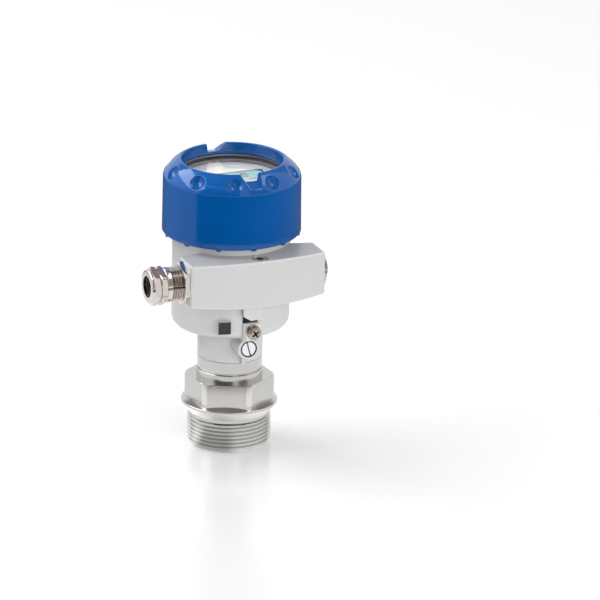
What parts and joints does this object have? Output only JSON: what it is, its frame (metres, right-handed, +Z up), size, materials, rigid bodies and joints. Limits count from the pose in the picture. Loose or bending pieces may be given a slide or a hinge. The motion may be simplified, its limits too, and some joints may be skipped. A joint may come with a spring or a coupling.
{
  "type": "pressure transmitter",
  "caption": "Pressure transmitter: flush ceramic cell in a threaded hexagon connection, cast housing with cross bar and cable gland, screwed blue cap with a window over a display.",
  "frame": {"origin": "centre of the flush measuring face at the lower end of the process thread, on the axis", "axes": "+Z up along the thread and the housing, -Y the front with the earth terminal and the bowed side of the cross bar, -X towards the cable gland"},
  "size_m": [0.1069, 0.0869, 0.1705],
  "materials": {
    "turned_steel": "satin",
    "steel_screws": "satin",
    "measuring_ceramic": "matte",
    "black_rubber": "matte",
    "circuit_board": "satin",
    "grey_lead": "satin",
    "silver_casting": "satin",
    "black_marker": "matte",
    "blue_coated_aluminium": "gloss",
    "window": "polished",
    "grey_moulding": "satin",
    "cream_face": "satin",
    "display_glass": "gloss",
    "grey_keys": "satin",
    "black_moulding": "satin",
    "nickel_plated_brass": "polished",
    "white_clamp": "satin"
  },
  "bodies": {
    "process": {"process_connection": "turned_steel", "ceramic_cell": "measuring_ceramic", "cell_seal": "black_rubber", "cell_clamp_ring": "steel_screws", "sensor_board": "circuit_board"},
    "housing": {"housing": "silver_casting", "neck_set_screw": "steel_screws", "earth_plate": "steel_screws", "earth_lock_washer": "steel_screws", "earth_screw": "steel_screws", "earth_guard": "steel_screws", "marker_plate": "black_marker", "lock_screw": "steel_screws", "cap_seal": "black_rubber", "display_body": "grey_moulding", "display_face": "cream_face", "lcd_panel": "display_glass", "key_switches": "black_moulding", "display_board": "circuit_board", "display_screws": "steel_screws", "display_lead": "grey_lead", "sensor_lead": "grey_lead", "electronics_cup": "black_moulding", "cup_screws": "steel_screws", "main_board": "circuit_board", "terminal_block": "black_moulding", "terminal_screws": "steel_screws", "gland_locknut": "nickel_plated_brass", "gland_body": "nickel_plated_brass", "gland_seal": "black_rubber", "blind_plug": "nickel_plated_brass", "plug_seal": "black_rubber"},
    "window_pack": {"window_gasket": "black_rubber", "window_glass": "window", "window_ring": "grey_moulding"},
    "cap": {"cap": "blue_coated_aluminium"},
    "gland_clamp": {"gland_claw": "white_clamp"},
    "gland_nut": {"gland_nut": "nickel_plated_brass"},
    "key_left": {"key_left": "grey_keys"},
    "key_middle": {"key_middle": "grey_keys"},
    "key_right": {"key_right": "grey_keys"}
  },
  "joints": [
    {"name": "housing_turn", "type": "hinge", "parent": "process", "child": "housing", "pos_m": [0, 0, 0.053], "axis": [0, 0, 1], "range_deg": [-165, 165]},
    {"name": "cap_lift", "type": "slide", "parent": "housing", "child": "window_pack", "axis": [0, 0, 1], "range_m": [0, 0.014]},
    {"name": "cap_turn", "type": "hinge", "parent": "window_pack", "child": "cap", "pos_m": [0, 0, 0.14], "axis": [0, 0, 1], "range_deg": [0, 2520]},
    {"name": "gland_slide", "type": "slide", "parent": "housing", "child": "gland_clamp", "axis": [-1, 0, 0], "range_m": [0, 0.002]},
    {"name": "gland_nut_turn", "type": "hinge", "parent": "gland_clamp", "child": "gland_nut", "pos_m": [-0.06, -0.031, 0.1103], "axis": [-1, 0, 0], "range_deg": [0, 480]},
    {"name": "key_left_press", "type": "slide", "parent": "housing", "child": "key_left", "axis": [0, 0, -1], "range_m": [0, 0.0008], "stiffness_N_per_m": 1000},
    {"name": "key_middle_press", "type": "slide", "parent": "housing", "child": "key_middle", "axis": [0, 0, -1], "range_m": [0, 0.0008], "stiffness_N_per_m": 1000},
    {"name": "key_right_press", "type": "slide", "parent": "housing", "child": "key_right", "axis": [0, 0, -1], "range_m": [0, 0.0008], "stiffness_N_per_m": 1000}
  ],
  "couplings": [
    {"joint": "cap_lift", "follows": "cap_turn", "m_per_rad": 0.0003183},
    {"joint": "gland_slide", "follows": "gland_nut_turn", "m_per_rad": 0.0002387}
  ]
}
